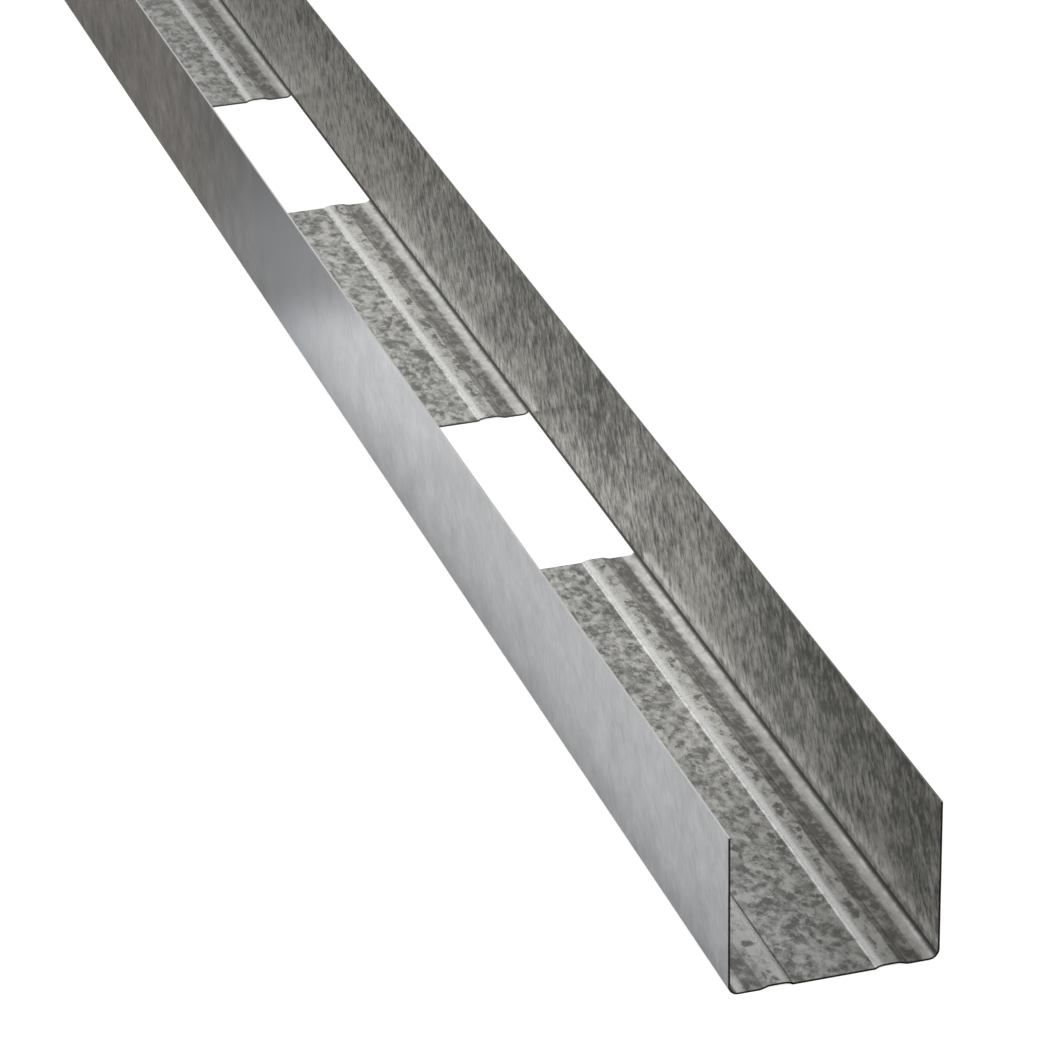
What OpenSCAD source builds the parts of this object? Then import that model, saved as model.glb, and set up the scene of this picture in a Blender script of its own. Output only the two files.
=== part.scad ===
// Galvanised steel stud for drywall partitions: a plain U section, roll formed from flat strip,
// with two shallow ribs along its web and a row of service cut-outs punched across it.
// It lies on its web with both flanges up. X runs across the web, Y along the stud and Z up.
// The origin is on the floor, at the middle of the underside.

/* [Section] */
// Overall width, from the outside of one flange to the outside of the other
stud_w = 50; // [40:1:150]
// Height of the flanges, from the underside of the web
flange_h = 40; // [25:1:60]
// Thickness of the sheet
sheet_t = 0.5; // [0.4:0.05:0.75]
// Inside radius of the bend between the web and each flange
bend_r = 2; // [1:0.1:3]

/* [Length] */
// Length of the stud as it is sold
stud_l = 3000; // [500:50:4000]

/* [Web ribs] */
// Distance from the outside of a flange to the middle of the rib beside it
rib_inset = 11.4; // [9:0.1:14]
// Width of a rib across its foot
rib_w = 8; // [6:0.5:9]
// Height that a rib stands above the rest of the web
rib_h = 0.6; // [0.4:0.05:0.7]

/* [Service cut-outs] */
// Length of web between the near end and the first cut-out
cut_start = 212; // [50:1:250]
// Length of each cut-out along the stud
cut_l = 91.5; // [40:0.5:150]
// Spacing of the cut-outs along the stud
cut_pitch = 250; // [200:5:600]
// Least length of web between the last cut-out and the far end
cut_end = 100; // [20:5:200]
// How far a cut-out reaches round each bend, in degrees up from the web
cut_reach = 48; // [10:2:80]

/* [Hidden] */
$fn = 96;
// Middle of the round of a bend, across and up
bend_x = stud_w / 2 - sheet_t - bend_r;
bend_z = sheet_t + bend_r;
// Steepest angle of a rib on the side of the web's middle, and on the side of the flange
steep = 2 * atan(1 / 3);
gentle = 2 * atan(1 / 7);
// Radii of the steep side: hollow foot, shoulder, and the crown that brings it level at rib_h
foot_r = rib_h;
shoulder_r = 2.5 * rib_h;
crown_r = (rib_h - foot_r * (1 - cos(steep)) - shoulder_r * (cos(gentle) - cos(steep)))
    / (1 - cos(gentle));
steep_w = foot_r * sin(steep) + shoulder_r * (sin(steep) - sin(gentle)) + crown_r * sin(gentle);
// Gentle side: radius of its two rounds, and the straight that brings it down by rib_h
fall_r = 2 * rib_h;
fall_l = (rib_h - 2 * fall_r * (1 - cos(gentle))) / sin(gentle);
gentle_w = 2 * fall_r * sin(gentle) + fall_l * cos(gentle);
// How far the cutting shapes run past the sheet
overrun = 2;
cut_count = floor((stud_l - cut_start - cut_l - cut_end) / cut_pitch) + 1;

// Path of the sheet at mid thickness, from the middle of the web to the top of the right flange.
// A step is [length, 0] for a straight stretch, or [radius, turn] for an arc, left turns positive
rib_start = stud_w / 2 - rib_inset - rib_w / 2;
half_path = [
    [rib_start, 0],
    [foot_r, steep],
    [shoulder_r, gentle - steep],
    [crown_r, -gentle],
    [rib_w - steep_w - gentle_w, 0],
    [fall_r, -gentle],
    [fall_l, 0],
    [fall_r, gentle],
    [bend_x - rib_start - rib_w, 0],
    [bend_r + sheet_t / 2, 90],
    [flange_h - bend_z, 0]
];

// Arc of sheet that starts at the origin along +X and turns by the given angle, under 120 degrees
module bent_sheet(mid_r, turn) {
    side = sign(turn);
    reach = 2 * (mid_r + sheet_t);
    translate([0, side * mid_r])
        intersection() {
            difference() {
                circle(mid_r + sheet_t / 2);
                circle(mid_r - sheet_t / 2);
            }
            polygon([
                [0, 0],
                for (a = [0, turn / 2, turn]) reach * [side * sin(a), -side * cos(a)]
            ]);
        }
}

// Sheet that follows a path of steps, starting at the origin along +X
module formed_sheet(steps) {
    size = steps[0][0];
    turn = steps[0][1];
    if (turn == 0)
        translate([0, -sheet_t / 2])
            square([size, sheet_t]);
    else
        bent_sheet(size, turn);
    if (len(steps) > 1)
        translate(turn == 0 ? [size, 0] : size * [sin(abs(turn)), sign(turn) * (1 - cos(turn))])
            rotate(turn)
                formed_sheet([for (i = [1 : len(steps) - 1]) steps[i]]);
}

// Whole section of the strip after forming
module stud_section()
    for (side = [0, 1])
        mirror([side, 0])
            translate([0, sheet_t / 2])
                formed_sheet(half_path);

// Section of a cut-out: it takes the whole web and ends square to the sheet in each bend
module cut_section() {
    cutter_r = bend_r + sheet_t + overrun;
    end_x = bend_x + cutter_r * sin(cut_reach);
    end_z = bend_z - cutter_r * cos(cut_reach);
    top_z = bend_z + rib_h;
    polygon([
        [-bend_x, top_z], [-bend_x, bend_z], [-end_x, end_z], [-end_x, -overrun],
        [end_x, -overrun], [end_x, end_z], [bend_x, bend_z], [bend_x, top_z]
    ]);
}

// Stretch a section along Y, with its middle at y = 0
module along(length)
    rotate([90, 0, 0])
        linear_extrude(length, center = true)
            children();

module stud()
    color([0.62, 0.63, 0.64])
        difference() {
            along(stud_l)
                stud_section();
            for (i = [0 : cut_count - 1])
                translate([0, cut_start + cut_l / 2 + i * cut_pitch - stud_l / 2, 0])
                    along(cut_l)
                        cut_section();
        }

stud();
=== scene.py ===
"""A galvanised steel stud for drywall partitions: its zinc finish, and the studio that it lies in."""

import math

import bpy
from bpy.props import FloatProperty, FloatVectorProperty, PointerProperty
from bpy.types import Operator, Panel, PropertyGroup
from mathutils import Matrix, Vector


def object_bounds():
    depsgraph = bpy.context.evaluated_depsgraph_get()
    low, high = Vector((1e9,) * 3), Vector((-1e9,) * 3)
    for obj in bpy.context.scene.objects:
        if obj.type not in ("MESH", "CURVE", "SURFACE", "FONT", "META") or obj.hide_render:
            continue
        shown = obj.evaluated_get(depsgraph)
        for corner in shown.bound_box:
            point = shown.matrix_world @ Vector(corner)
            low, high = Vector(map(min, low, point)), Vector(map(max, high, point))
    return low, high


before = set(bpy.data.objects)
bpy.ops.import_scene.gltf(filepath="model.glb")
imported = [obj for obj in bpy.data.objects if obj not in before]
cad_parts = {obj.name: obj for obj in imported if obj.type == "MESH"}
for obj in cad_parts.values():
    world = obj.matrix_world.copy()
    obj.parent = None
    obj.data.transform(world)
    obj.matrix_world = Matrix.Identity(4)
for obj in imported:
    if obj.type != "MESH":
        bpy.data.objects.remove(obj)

bl_info = {
    "name": "Drywall stud",
    "version": (1, 0, 0),
    "blender": (4, 5, 0),
    "location": "3D View > Sidebar > Stud",
    "description": "Finishes a galvanised drywall stud and sets it up in a plain studio",
    "category": "Object",
}

STUD = "stud"
LOW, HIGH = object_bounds()
NEAR_END = Vector((0, LOW.y, LOW.z))

# Zones of the finish across the section, among them painted highlights on the rib slopes and beside the
# bends and painted shade in the bends, in metres from the stud's middle and alike on both sides.
# A zone that begins softly has a pair for that, and so has one that fades: where it has its least
# and where it has its most, or the other way round.
SLOPE_BEGINS = (0.0096, 0.0105)
SLOPE_FADES = (0.0130, 0.0112)
RIB_TOP = (0.0122, 0.0152)
FALL_END = 0.018
FLAT_START = 0.0168
BEND_BEGINS = (0.0232, 0.0241)
SHEEN_BEGINS_BEYOND = (-0.0004, 0.0014)
SHEEN_FADES = (0.0237, 0.0229)

# The same up the flanges' inside, where a painted light fades upward from the foot, and along the stud from
# the middle of the bluish bloom.
FOOT_LIGHT_FADES = (0.030, 0.004)
BLOOM_FADES = (0.08, 0.02)

# How far a face's normal has to lean for the face to count as a flange, a sheared end, a punched
# edge under a bend, or the slit edge on top of a flange, and how thin that slit edge is.
FLANGE_LEAN = 0.94
SHEARED_LEAN = 0.7
PUNCHED_LEAN = 0.4
SLIT_LEAN = 0.7
SLIT_DEPTH = 0.0002

# The sheared edge is darkest this close to the near end.
NEAR_EDGE = 0.05


# ---- Shader building -------------------------------------------------------------------------


class Wire:
    """One output of a shader node. Sums, products and comparisons of it add Math nodes."""

    def __init__(self, shader, socket):
        self.shader = shader
        self.socket = socket

    def math(self, operation, *operands):
        """A Math node on these operands."""
        return self.shader.node("Math", {"operation": operation}, dict(enumerate(operands)))

    def __add__(self, other):
        return self.math("ADD", self, other)

    def __radd__(self, other):
        return self.math("ADD", other, self)

    def __sub__(self, other):
        return self.math("SUBTRACT", self, other)

    def __rsub__(self, other):
        return self.math("SUBTRACT", other, self)

    def __mul__(self, other):
        return self.math("MULTIPLY", self, other)

    def __rmul__(self, other):
        return self.math("MULTIPLY", other, self)

    def __gt__(self, other):
        return self.math("GREATER_THAN", self, other)

    def __lt__(self, other):
        return self.math("LESS_THAN", self, other)

    def __abs__(self):
        return self.math("ABSOLUTE", self)


class Shader:
    """The node tree of one material or world, built a node at a time."""

    def __init__(self, tree):
        self.tree = tree
        self.tree.nodes.clear()

    def node(self, kind, settings=None, inputs=None, output=0):
        """Adds a node, sets it up, fills or links its inputs, and gives the chosen output."""
        made = self.tree.nodes.new("ShaderNode" + kind)
        for name, value in (settings or {}).items():
            setattr(made, name, value)
        for name, value in (inputs or {}).items():
            if isinstance(value, Wire):
                self.tree.links.new(value.socket, made.inputs[name])
            else:
                made.inputs[name].default_value = value
        return Wire(self, made.outputs[output]) if made.outputs else made

    def vector(self, operation, *operands, **named):
        """A Vector Math node on these operands."""
        return self.node("VectorMath", {"operation": operation}, {**dict(enumerate(operands)), **named})

    def mix(self, factor, first, second):
        """A blend of two colours."""
        return self.node("Mix", {"data_type": "RGBA"}, {0: factor, 6: first, 7: second}, output=2)

    def blend(self, factor, first, second):
        """A blend of two numbers."""
        return self.node("Mix", {"data_type": "FLOAT"}, {0: factor, 2: first, 3: second})


def solid(colour):
    """A colour property as the four numbers that a colour socket holds."""
    return (*colour, 1)


def new_material(name):
    """An empty material and the shader that fills it."""
    material = bpy.data.materials.new(name)
    material.use_nodes = True
    return material, Shader(material.node_tree)


# ---- The zinc coating ------------------------------------------------------------------------


class ZincFinish(PropertyGroup):
    """Colours and sizes of the galvanised sheet."""

    dark_crystal: FloatVectorProperty(
        name="Dark crystal", description="Colour of the darkest zinc crystals on the web",
        default=(0.15, 0.15, 0.142), subtype="COLOR", min=0, max=1)
    light_crystal: FloatVectorProperty(
        name="Light crystal", description="Colour of the lightest zinc crystals on the web",
        default=(0.64, 0.64, 0.625), subtype="COLOR", min=0, max=1)
    dark_streak: FloatVectorProperty(
        name="Dark streak", description="Colour of the darkest streaks inside the flanges",
        default=(0.12, 0.122, 0.112), subtype="COLOR", min=0, max=1)
    light_streak: FloatVectorProperty(
        name="Light streak", description="Colour of the lightest streaks inside the flanges",
        default=(0.95, 0.93, 0.88), subtype="COLOR", min=0, max=1)
    dark_outside: FloatVectorProperty(
        name="Dark outside", description="Darkest colour of the smooth zinc outside",
        default=(0.21, 0.215, 0.226), subtype="COLOR", min=0, max=1)
    light_outside: FloatVectorProperty(
        name="Light outside", description="Lightest colour of the smooth zinc outside",
        default=(0.40, 0.408, 0.422), subtype="COLOR", min=0, max=1)
    bluish_bloom: FloatVectorProperty(
        name="Bluish bloom", description="Colour of the one bluish patch on the outside of the flanges",
        default=(0.24, 0.265, 0.30), subtype="COLOR", min=0, max=1)
    dark_aged: FloatVectorProperty(
        name="Dark aged zinc", description="Darkest colour of the outside along the far stretch",
        default=(0.17, 0.158, 0.148), subtype="COLOR", min=0, max=1)
    light_aged: FloatVectorProperty(
        name="Light aged zinc", description="Lightest colour of the outside along the far stretch",
        default=(0.60, 0.58, 0.555), subtype="COLOR", min=0, max=1)
    bloom_place: FloatProperty(
        name="Bloom place", description="Distance of the bluish patch from the near end",
        default=0.5, min=0, max=3, subtype="DISTANCE", unit="LENGTH")
    # Where the painted shade inside the channel starts again, and over what length it grows.
    inside_shade_from: FloatProperty(
        name="Aged from", description="Distance from the near end at which the inside darkens again",
        default=0.42, min=0, max=3, subtype="DISTANCE", unit="LENGTH")
    inside_shade_over: FloatProperty(
        name="Aged over", description="Length over which the inside darkens",
        default=0.2, min=0.001, max=3, subtype="DISTANCE", unit="LENGTH")
    outside_aged_from: FloatProperty(
        name="Outside aged from", description="Distance from the near end at which the outside ages",
        default=0.58, min=0, max=3, subtype="DISTANCE", unit="LENGTH")
    outside_aged_over: FloatProperty(
        name="Outside aged over", description="Length over which the outside turns to aged zinc",
        default=0.12, min=0.001, max=3, subtype="DISTANCE", unit="LENGTH")
    # Painted highlight: the light colour of the steep rib slopes and their falls, and rubbed zinc with a
    # painted sheen in the strip beside each bend.
    burnish_and_highlight: FloatVectorProperty(
        name="Burnished zinc", description="Colour of the zinc that the forming rollers rubbed smooth",
        default=(0.84, 0.84, 0.83), subtype="COLOR", min=0, max=1)
    # Painted shade in the bends, on the faces under them and on the right flange's top edge; also the dull
    # zinc of the sheared edges away from the near end.
    dull_zinc_and_shade: FloatVectorProperty(
        name="Folded zinc", description="Colour of the dull zinc in the bends and along the duller edges",
        default=(0.16, 0.16, 0.152), subtype="COLOR", min=0, max=1)
    # Also painted shade inside the channel and on a strip of the web beside each bend.
    cut_edge_and_shade: FloatVectorProperty(
        name="Cut edge", description="Colour of the sheared edge at the near end, and of tarnish",
        default=(0.035, 0.034, 0.033), subtype="COLOR", min=0, max=1)
    # Painted highlight on the left flange's top edge.
    slit_edge_highlight: FloatVectorProperty(
        name="Slit edge", description="Colour of the bright edge on top of the left flange",
        default=(0.6, 0.6, 0.6), subtype="COLOR", min=0, max=1)
    crystal: FloatProperty(
        name="Crystal size", description="Width of a large zinc crystal",
        default=0.0026, min=0.0005, max=0.05, subtype="DISTANCE", unit="LENGTH")
    fine_crystal: FloatProperty(
        name="Fine crystal size", description="Width of the small crystals between the large ones",
        default=0.0013, min=0.0002, max=0.02, subtype="DISTANCE", unit="LENGTH")
    crystal_squeeze: FloatProperty(
        name="Crystal squeeze", description="Width of a crystal on the web against its length",
        default=0.6, min=0.1, max=1, subtype="FACTOR")
    spot: FloatProperty(
        name="Spot size", description="Width of the dark spots on top of the ribs",
        default=0.003, min=0.0005, max=0.05, subtype="DISTANCE", unit="LENGTH")
    grain: FloatProperty(
        name="Rubbed grain", description="Width of the patches that the forming rollers rubbed",
        default=0.0012, min=0.0002, max=0.02, subtype="DISTANCE", unit="LENGTH")
    cloud: FloatProperty(
        name="Cloud size", description="Width of a cloud inside the flanges",
        default=0.0045, min=0.0005, max=0.1, subtype="DISTANCE", unit="LENGTH")
    drift: FloatProperty(
        name="Drift size", description="Length over which the flanges' inside slowly changes",
        default=0.05, min=0.005, max=1, subtype="DISTANCE", unit="LENGTH")
    outside_cloud: FloatProperty(
        name="Outside cloud size", description="Width of a cloud on the outside of the flanges",
        default=0.012, min=0.0005, max=0.1, subtype="DISTANCE", unit="LENGTH")
    outside_drift: FloatProperty(
        name="Outside drift size", description="Length over which the outside slowly changes",
        default=0.12, min=0.005, max=1, subtype="DISTANCE", unit="LENGTH")
    streak_width: FloatProperty(
        name="Streak width", description="Width of a streak inside the flanges",
        default=0.0011, min=0.0002, max=0.02, subtype="DISTANCE", unit="LENGTH")
    streak_length: FloatProperty(
        name="Streak length", description="Length of a streak inside the flanges",
        default=0.0026, min=0.001, max=0.1, subtype="DISTANCE", unit="LENGTH")
    streak_slope: FloatProperty(
        name="Streak slope", description="Angle between the streaks and the stud's length",
        default=math.radians(62), subtype="ANGLE", unit="ROTATION")
    # Where the painted shade strip on the web ends and the strip with the painted sheen begins.
    sheen_strip_from: FloatProperty(
        name="Burnished from", description="Distance from the middle to the strip rubbed beside each bend",
        default=0.0208, min=0, max=0.1, subtype="DISTANCE", unit="LENGTH")
    # Painted shade inside the channel: its strength and the length of its near stretch.
    painted_inside_shade: FloatProperty(
        name="Tarnish", description="How much the inside darkens at the near end and farther along",
        default=0.36, min=0, max=1, subtype="FACTOR")
    inside_shade_length: FloatProperty(
        name="Tarnish length", description="Length of the tarnished stretch at the near end",
        default=0.18, min=0.001, max=3, subtype="DISTANCE", unit="LENGTH")
    metallic: FloatProperty(
        name="Metallic", description="How much of the light the bare zinc mirrors",
        default=0.75, min=0, max=1, subtype="FACTOR")
    roughness: FloatProperty(
        name="Roughness", description="Roughness of the smoothest crystals",
        default=0.28, min=0, max=1, subtype="FACTOR")


def parts_of(shader, vector):
    """The three numbers of a vector."""
    node = shader.node("SeparateXYZ", None, {0: vector}).socket.node
    return [Wire(shader, output) for output in node.outputs]


def noise(shader, place, size, detail=3.0, roughness=0.6, output=0):
    """Soft random numbers around a half, or random vectors with output 1, whose lumps have this size."""
    return shader.node("TexNoise", {"noise_dimensions": "3D"}, {
        "Vector": place, "Scale": 1 / size, "Detail": detail, "Roughness": roughness}, output=output)


def crystals(shader, place, size, jag):
    """A random number that stays the same over each jagged zinc crystal."""
    wander = shader.vector("SUBTRACT", noise(shader, place, 0.7 * size, output=1), (0.5, 0.5, 0.5))
    moved = shader.vector("ADD", place, shader.vector("SCALE", wander, Scale=size * jag))
    cells = shader.node("TexVoronoi", {"voronoi_dimensions": "3D", "feature": "F1"},
                        {"Vector": moved, "Scale": 1 / size}, output=1)
    return shader.node("SeparateColor", {"mode": "RGB"}, {0: cells})


def stretch(shader, value, low, high):
    """A number between 0 and 1 that rises as the value goes from low to high."""
    return shader.node("MapRange", {"clamp": True}, {"Value": value, "From Min": low, "From Max": high})


def between(value, low, high):
    """One where the value lies between low and high, and zero elsewhere."""
    return (value > low) * (value < high)


def web_colour(shader, finish, place):
    """Spangle on the web: jagged dark islands in light filigree, with a painted highlight on the rib tops
    and painted shade in a strip before each bend.
    """
    across, along, up = parts_of(shader, place)
    reach = abs(across)
    place = shader.node("CombineXYZ", None, {0: across, 1: finish.crystal_squeeze * along, 2: up})
    blocks = crystals(shader, place, finish.crystal, 1.4)
    flecks = crystals(shader, place, finish.fine_crystal, 1.5)
    veins = noise(shader, place, 0.8 * finish.crystal, 3.0, 0.65)
    filigree = stretch(shader, abs(noise(shader, place, finish.crystal, 2.0, 0.6) - 0.5), 0.04, 0.0)
    # The rib tops carry real dark spots and a painted highlight that lifts their level.
    top = between(reach, *RIB_TOP)
    spots = top * stretch(shader, noise(shader, place, finish.spot, 3.0, 0.6), 0.46, 0.40)
    # Painted shade: the flat strip between each rib and the bend is made darker.
    strip = between(reach, FLAT_START, finish.sheen_strip_from)
    level = 0.30 * blocks + 0.30 * flecks + 1.1 * veins + 0.12 * filigree
    level = level + 0.2 * top - 0.4 * spots - 0.10 * strip
    tone = stretch(shader, level, 0.65, 1.13)
    colour = shader.mix(tone, solid(finish.dark_crystal), solid(finish.light_crystal))
    return tone, shader.mix(0.3 * strip, colour, solid(finish.cut_edge_and_shade))


def streaked_place(shader, finish, place):
    """Place on a flange, squeezed along the streaks so that what is round there comes out long."""
    across, along, up = parts_of(shader, place)
    slope = finish.streak_slope
    side = up * math.cos(slope) - along * math.sin(slope)
    run = (along * math.cos(slope) + up * math.sin(slope)) * (finish.streak_width / finish.streak_length)
    return shader.node("CombineXYZ", None, {0: across, 1: run, 2: side})


def flange_colour(shader, finish, place):
    """Slanting streaks and soft clouds inside the flanges."""
    streaks = noise(shader, streaked_place(shader, finish, place), 1.6 * finish.streak_width, 3.0, 0.7)
    clouds = noise(shader, place, finish.cloud, 3.0, 0.65)
    drifts = noise(shader, place, finish.drift, 1.0, 0.5)
    # Painted light: the inside of each flange is lighter toward its foot.
    foot_light = stretch(shader, parts_of(shader, place)[2], *FOOT_LIGHT_FADES)
    tone = stretch(shader, 1.0 * streaks + 0.65 * clouds + 0.35 * drifts + 0.10 * foot_light, 0.86, 1.20)
    return tone, shader.mix(tone, solid(finish.dark_streak), solid(finish.light_streak))


def outside_colour(shader, finish, place):
    """Smooth zinc on the outside, with faint clouds and streaks."""
    streaks = noise(shader, streaked_place(shader, finish, place), 1.4 * finish.streak_width, 3.0, 0.7)
    clouds = noise(shader, place, finish.outside_cloud, 4.0, 0.65)
    drifts = noise(shader, place, finish.outside_drift, 1.0, 0.5)
    tone = stretch(shader, 0.35 * streaks + 0.45 * clouds + 0.2 * drifts, 0.38, 0.64)
    fresh = shader.mix(tone, solid(finish.dark_outside), solid(finish.light_outside))
    worn = shader.mix(tone, solid(finish.dark_aged), solid(finish.light_aged))
    along = parts_of(shader, place)[1]
    from_bloom = abs(along + 0.2 * clouds - (LOW.y + finish.bloom_place))
    bloom = 0.7 * stretch(shader, from_bloom, *BLOOM_FADES)
    fresh = shader.mix(bloom, fresh, solid(finish.bluish_bloom))
    aged_start = LOW.y + finish.outside_aged_from
    aged = stretch(shader, along + 0.4 * drifts, aged_start, aged_start + finish.outside_aged_over)
    return tone, shader.mix(aged, fresh, worn)


def zinc_material(finish):
    """Galvanised sheet: spangle on the web, streaks inside the flanges and smooth zinc outside."""
    material, shader = new_material("galvanised_sheet")
    place = shader.node("TexCoord", output="Object")
    across, along, up = parts_of(shader, place)
    lean, end_on, upward = parts_of(shader, shader.node("TexCoord", output="Normal"))
    outward = lean * across.math("SIGN", across)
    reach = abs(across)

    tone, colour = web_colour(shader, finish, place)
    flange_tone, flange = flange_colour(shader, finish, place)
    outside_tone, outside = outside_colour(shader, finish, place)
    on_flange = abs(lean) > FLANGE_LEAN
    is_outside = (outward - upward) > 0
    tone = shader.blend(is_outside, shader.blend(on_flange, tone, flange_tone), outside_tone)
    colour = shader.mix(is_outside, shader.mix(on_flange, colour, flange), outside)

    inside = 1 - is_outside
    # Painted shade: the inside of each bend takes the dark dull colour.
    bend = stretch(shader, reach, *BEND_BEGINS) * (1 - on_flange) * inside
    colour = shader.mix(bend, colour, solid(finish.dull_zinc_and_shade))
    # Painted highlight: the steep slope of each rib and its outward fall take the light colour, and so does
    # the rubbed strip beside each bend as a painted sheen.
    slope_highlight = stretch(shader, reach, *SLOPE_BEGINS) * stretch(shader, reach, *SLOPE_FADES)
    fall_highlight = 0.12 * stretch(shader, outward, 0.02, 0.08) * (reach < FALL_END)
    sheen_begins = [finish.sheen_strip_from + step for step in SHEEN_BEGINS_BEYOND]
    rubbed_sheen_strip = 0.76 * stretch(shader, reach, *sheen_begins) * stretch(shader, reach, *SHEEN_FADES)
    rubbed = slope_highlight.math("MAXIMUM", slope_highlight, rubbed_sheen_strip + fall_highlight) * inside
    wear = stretch(shader, noise(shader, place, finish.grain, 2.0, 0.7), 0.25, 0.75)
    colour = shader.mix(rubbed * (0.8 + 0.2 * wear), colour, solid(finish.burnish_and_highlight))

    # Painted shade: the inside of the channel darkens toward the near end and again farther along.
    near = stretch(shader, along, LOW.y + finish.inside_shade_length, LOW.y)
    aged_start = LOW.y + finish.inside_shade_from
    aged = stretch(shader, along, aged_start, aged_start + finish.inside_shade_over)
    painted_inside_shade = finish.painted_inside_shade * inside * (near + 0.6 * aged)
    colour = shader.mix(painted_inside_shade, colour, solid(finish.cut_edge_and_shade))

    # Sheared edges take the dark cut-edge colour near the end and the dull colour farther along; the faces
    # under the bends take the dull colour as painted shade.
    sheared = abs(end_on) > SHEARED_LEAN
    punched = (outward < -PUNCHED_LEAN) * (upward < -PUNCHED_LEAN)
    edge = shader.mix(along > (LOW.y + NEAR_EDGE), solid(finish.cut_edge_and_shade), solid(finish.dull_zinc_and_shade))
    colour = shader.mix(sheared.math("MAXIMUM", sheared, punched), colour, edge)
    # Painted highlight on the top edge of the left flange, and painted shade on that of the right flange.
    slit = (upward > SLIT_LEAN) * (up > (HIGH.z - SLIT_DEPTH))
    colour = shader.mix(slit * (across < 0), colour, solid(finish.slit_edge_highlight))
    colour = shader.mix(slit * (across > 0), colour, solid(finish.dull_zinc_and_shade))

    roughness = finish.roughness + 0.05 * tone + 0.2 * bend - 0.05 * slope_highlight * inside
    relief = shader.node("Bump", None, {"Strength": 0.25, "Distance": 0.00005, "Height": tone})
    surface = shader.node("BsdfPrincipled", None, {
        "Base Color": colour,
        "Metallic": finish.metallic,
        "Roughness": roughness,
        "Normal": relief,
    })
    shader.node("OutputMaterial", None, {"Surface": surface})
    return material


class STUD_OT_finish_sheet(Operator):
    """Give the stud its galvanised finish"""

    bl_idname = "stud.finish_sheet"
    bl_label = "Galvanise the sheet"
    bl_options = {"REGISTER", "UNDO"}

    def execute(self, context):
        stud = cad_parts[STUD]
        material = zinc_material(context.scene.zinc_finish)
        for slot in stud.material_slots:
            slot.material = material
        return {"FINISHED"}


# ---- The studio ------------------------------------------------------------------------------

WHITE = (1, 1, 1, 1)
FLOOR_WHITE = (0.95, 0.95, 0.95, 1)
WARM_SKY = (1, 0.96, 0.9, 1)

# Lamp places across, along and up from the stud's near end, widths and beams.
REAR_PLACE = (-1.0, 2.1, 1.0)
REAR_AIM = (0, 0.3, 0)
REAR_WIDTH = 0.9
NARROW_BEAM = math.radians(6)
WIDER_BEAM = math.radians(14)
OPENING_ACROSS = 0.014
OPENING_WIDTH = 0.02
OPENING_LENGTH = 0.085


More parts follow.
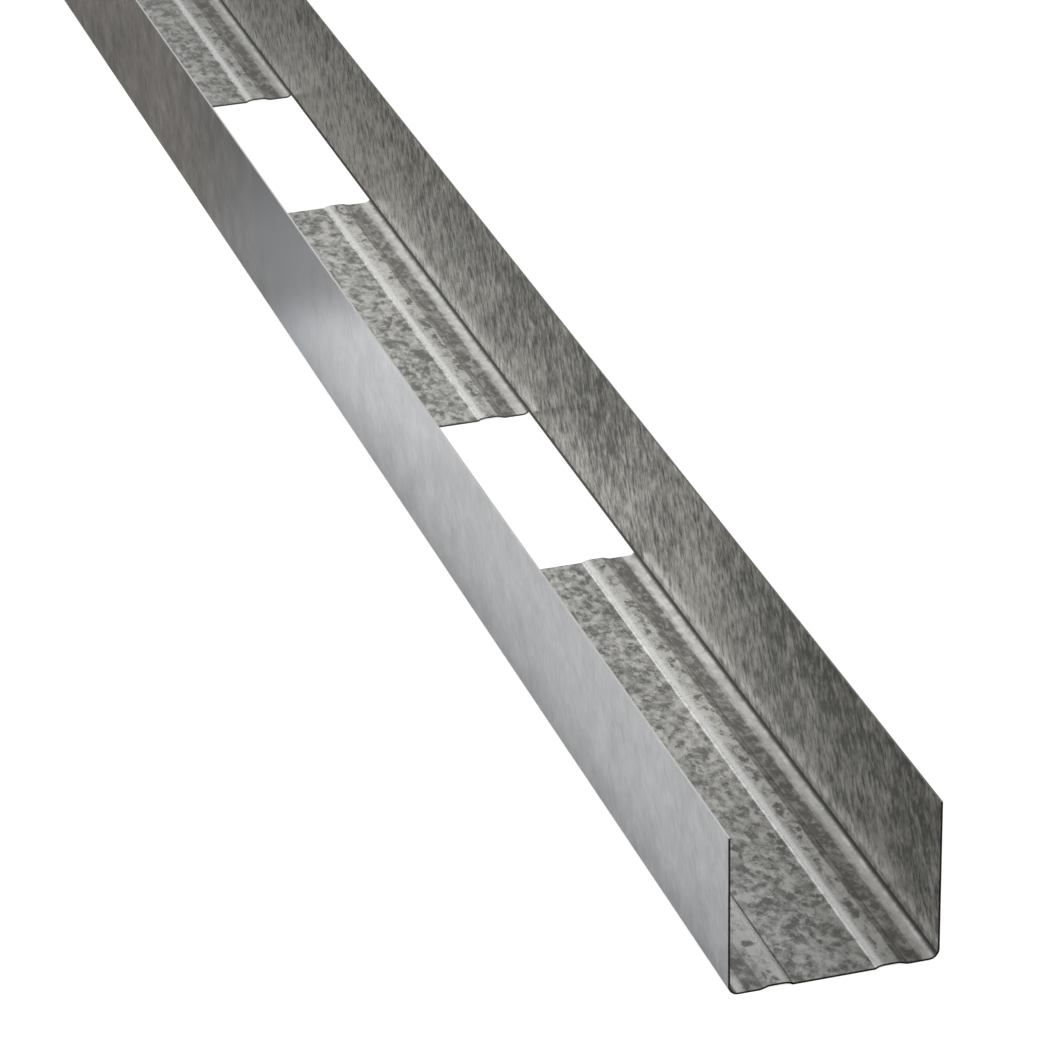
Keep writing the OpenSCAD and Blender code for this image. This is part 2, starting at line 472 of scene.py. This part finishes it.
class StudSettings(PropertyGroup):
    """Sizes of the floor, the lamps and the camera's place."""

    floor_size: FloatProperty(
        name="Floor size", description="Width of the square floor",
        default=60.0, min=5, max=500, subtype="DISTANCE", unit="LENGTH")
    floor_glow: FloatProperty(
        name="Floor glow", description="How much of the floor's white doesn't depend on the lamps",
        default=0.9, min=0, max=1, subtype="FACTOR")
    mirrored_glow: FloatProperty(
        name="Mirrored glow", description="Share of the floor's glow that the metal mirrors",
        default=0.04, min=0, max=1, subtype="FACTOR")
    sky_light: FloatProperty(
        name="Sky light", description="Light that the surroundings throw on matt surfaces",
        default=0.2, min=0, max=5)
    rear_power: FloatProperty(
        name="Rear lamp power", description="Power of the soft lamp beyond the stud, on its left",
        default=5.0, min=0, max=100, subtype="POWER", unit="POWER")
    strip_height: FloatProperty(
        name="Strip lamp height", description="Height of the strip lamps above the floor",
        default=0.45, min=0.1, max=5, subtype="DISTANCE", unit="LENGTH")
    strip_side: FloatProperty(
        name="Strip lamps to the left", description="Distance of the long strips from the stud's middle",
        default=0.207, min=0, max=5, subtype="DISTANCE", unit="LENGTH")
    strip_width: FloatProperty(
        name="Strip lamp width", description="Width of the long strip lamps",
        default=0.36, min=0.01, max=5, subtype="DISTANCE", unit="LENGTH")
    pool_length: FloatProperty(
        name="Pool length", description="Length of the lit stretch of floor beside the stud",
        default=0.91, min=0.01, max=5, subtype="DISTANCE", unit="LENGTH")
    pool_end: FloatProperty(
        name="Pool end", description="Distance from the near end at which the lit floor ends",
        default=0.39, min=0, max=3, subtype="DISTANCE", unit="LENGTH")
    pool_power: FloatProperty(
        name="Pool power", description="Power of the lamp over the floor beside the stud",
        default=0.98, min=0, max=100, subtype="POWER", unit="POWER")
    fade_length: FloatProperty(
        name="Fade length", description="Length of the lamp that softens the end of the lit floor",
        default=0.17, min=0.01, max=5, subtype="DISTANCE", unit="LENGTH")
    fade_power: FloatProperty(
        name="Fade power", description="Power of the lamp that softens the end of the lit floor",
        default=0.07, min=0, max=100, subtype="POWER", unit="POWER")
    opening_place: FloatProperty(
        name="Opening lamp place", description="Distance of the small lamp from the near end",
        default=0.258, min=0, max=3, subtype="DISTANCE", unit="LENGTH")
    opening_power: FloatProperty(
        name="Opening lamp power", description="Power of the small lamp over the floor in the first cut-out",
        default=0.002, min=0, max=1, subtype="POWER", unit="POWER")
    camera_side: FloatProperty(
        name="Camera to the left", description="Distance of the camera left of the stud's middle",
        default=0.34896, min=-5, max=5, subtype="DISTANCE", unit="LENGTH")
    camera_back: FloatProperty(
        name="Camera back", description="Distance of the camera in front of the stud's near end",
        default=0.91537, min=-5, max=5, subtype="DISTANCE", unit="LENGTH")
    camera_height: FloatProperty(
        name="Camera height", description="Height of the camera above the floor",
        default=0.59584, min=0, max=5, subtype="DISTANCE", unit="LENGTH")
    camera_turn: FloatProperty(
        name="Camera turn", description="How far the camera looks to the right of the stud's own direction",
        default=math.radians(16.955), subtype="ANGLE", unit="ROTATION")
    camera_dip: FloatProperty(
        name="Camera dip", description="How far the camera looks down",
        default=math.radians(26.283), subtype="ANGLE", unit="ROTATION")
    camera_roll: FloatProperty(
        name="Camera roll", description="How far the camera leans to its side",
        default=math.radians(0.9975), subtype="ANGLE", unit="ROTATION")
    lens: FloatProperty(
        name="Lens", description="Focal length on a sensor 36 mm wide",
        default=176.255, min=10, max=500, subtype="DISTANCE_CAMERA")


def white_to_the_eye(shader, plain, white, mirrored=1.0):
    """The plain shader for light on the object, and the white one for what is seen or mirrored."""
    path = shader.node("LightPath").socket.node
    seen, glossy, through = [Wire(shader, path.outputs[name]) for name in
                             ("Is Camera Ray", "Is Glossy Ray", "Is Transmission Ray")]
    chance = seen.math("MAXIMUM", seen, glossy.math("MAXIMUM", glossy, through) * mirrored)
    return shader.node("MixShader", None, {0: chance, 1: plain, 2: white})


def floor_material(settings):
    """Matt white floor that glows a little, so that it looks white and still takes a shadow."""
    material, shader = new_material("studio_floor")
    matt = shader.node("BsdfDiffuse", None, {"Color": FLOOR_WHITE})
    glow = shader.node("Emission", None, {"Color": WHITE, "Strength": settings.floor_glow})
    bright = shader.node("AddShader", None, {0: matt, 1: glow})
    shader.node("OutputMaterial", None, {
        "Surface": white_to_the_eye(shader, matt, bright, settings.mirrored_glow)})
    return material


def lay_floor(settings):
    """A square floor that the stud lies on."""
    half = settings.floor_size / 2
    mesh = bpy.data.meshes.new("floor")
    corners = [(-half, -half, LOW.z), (half, -half, LOW.z), (half, half, LOW.z), (-half, half, LOW.z)]
    mesh.from_pydata(corners, [], [(0, 1, 2, 3)])
    mesh.materials.append(floor_material(settings))
    floor = bpy.data.objects.new("floor", mesh)
    bpy.context.scene.collection.objects.link(floor)


def light_surroundings(settings):
    """White surroundings that light the object evenly."""
    world = bpy.data.worlds.new("studio")
    world.use_nodes = True
    bpy.context.scene.world = world
    shader = Shader(world.node_tree)
    plain = shader.node("Background", None, {"Color": WARM_SKY, "Strength": settings.sky_light})
    white = shader.node("Background", None, {"Color": WHITE, "Strength": 1.0})
    shader.node("OutputWorld", None, {"Surface": white_to_the_eye(shader, plain, white)})


def hang(name, lamp, place, aim):
    """Hangs a lamp at one place, facing another, out of the camera's sight."""
    hung = bpy.data.objects.new(name, lamp)
    hung.location = place
    hung.rotation_mode = "QUATERNION"
    hung.rotation_quaternion = (aim - place).to_track_quat("-Z", "Y")
    hung.visible_camera = False
    bpy.context.scene.collection.objects.link(hung)
    return hung


def soft_box(name, place, aim, width, power):
    """A flat square lamp. Its place and aim count from the stud's near end."""
    lamp = bpy.data.lights.new(name, "AREA")
    lamp.shape = "SQUARE"
    lamp.size = width
    lamp.energy = power
    hang(name, lamp, NEAR_END + Vector(place), NEAR_END + Vector(aim))


def strip_light(name, place, width, length, spread, power):
    """A lamp that shines straight down on the floor. Its place counts from the stud's near end.

    The metal doesn't mirror the lamp itself, only the floor that it lights.
    """
    lamp = bpy.data.lights.new(name, "AREA")
    lamp.shape = "RECTANGLE"
    lamp.size = width
    lamp.size_y = length
    lamp.spread = spread
    lamp.energy = power
    place = NEAR_END + Vector(place)
    hung = hang(name, lamp, place, place - Vector((0, 0, 1)))
    hung.visible_glossy = False


def hang_lamps(settings):
    """A soft lamp beyond the stud, and strips that light the floor beside it and in its first opening."""
    soft_box("rear_box", REAR_PLACE, REAR_AIM, REAR_WIDTH, settings.rear_power)
    side, height = -settings.strip_side, settings.strip_height
    middle = settings.pool_end - settings.pool_length / 2
    strip_light("floor_strip", (side, middle, height), settings.strip_width, settings.pool_length,
                NARROW_BEAM, settings.pool_power)
    strip_light("edge_strip", (side, settings.pool_end, height), settings.strip_width, settings.fade_length,
                WIDER_BEAM, settings.fade_power)
    strip_light("opening_strip", (OPENING_ACROSS, settings.opening_place, height), OPENING_WIDTH,
                OPENING_LENGTH, NARROW_BEAM, settings.opening_power)


def place_camera(settings):
    """The camera, left of the stud and in front of its near end, looking down along it."""
    data = bpy.data.cameras.new("camera")
    data.sensor_width = 36
    data.lens = settings.lens
    data.clip_start = 0.05
    data.clip_end = 200
    camera = bpy.data.objects.new("camera", data)
    place = NEAR_END + Vector((-settings.camera_side, -settings.camera_back, settings.camera_height))
    camera.matrix_world = (
        Matrix.Translation(place)
        @ Matrix.Rotation(-settings.camera_turn, 4, "Z")
        @ Matrix.Rotation(math.radians(90) - settings.camera_dip, 4, "X")
        @ Matrix.Rotation(-settings.camera_roll, 4, "Z")
    )
    bpy.context.scene.collection.objects.link(camera)
    bpy.context.scene.camera = camera


class STUD_OT_set_stage(Operator):
    """Lay the floor, hang the lamps and place the camera"""

    bl_idname = "stud.set_stage"
    bl_label = "Set up the studio"
    bl_options = {"REGISTER", "UNDO"}

    def execute(self, context):
        settings = context.scene.stud_settings
        lay_floor(settings)
        light_surroundings(settings)
        hang_lamps(settings)
        place_camera(settings)
        context.scene.view_settings.view_transform = "Standard"
        return {"FINISHED"}


# ---- Panel and registration ------------------------------------------------------------------


class STUD_PT_sidebar(Panel):
    """The stud's steps and settings in the sidebar"""

    bl_idname = "STUD_PT_sidebar"
    bl_label = "Drywall stud"
    bl_space_type = "VIEW_3D"
    bl_region_type = "UI"
    bl_category = "Stud"

    def draw(self, context):
        for step in STEPS:
            self.layout.operator(step.bl_idname)
        for group in (context.scene.zinc_finish, context.scene.stud_settings):
            box = self.layout.box()
            for name in group.bl_rna.properties.keys():
                if name not in ("name", "rna_type"):
                    box.prop(group, name)


STEPS = (STUD_OT_finish_sheet, STUD_OT_set_stage)
CLASSES = (ZincFinish, StudSettings, *STEPS, STUD_PT_sidebar)


def register():
    """Registers the classes and hangs the settings on the scene."""
    for cls in CLASSES:
        bpy.utils.register_class(cls)
    bpy.types.Scene.zinc_finish = PointerProperty(type=ZincFinish)
    bpy.types.Scene.stud_settings = PointerProperty(type=StudSettings)


def unregister():
    """Takes the settings and the classes away again."""
    del bpy.types.Scene.stud_settings
    del bpy.types.Scene.zinc_finish
    for cls in reversed(CLASSES):
        bpy.utils.unregister_class(cls)


def main():
    """Runs every step."""
    register()
    bpy.ops.stud.finish_sheet()
    bpy.ops.stud.set_stage()


if __name__ == "__main__":
    main()
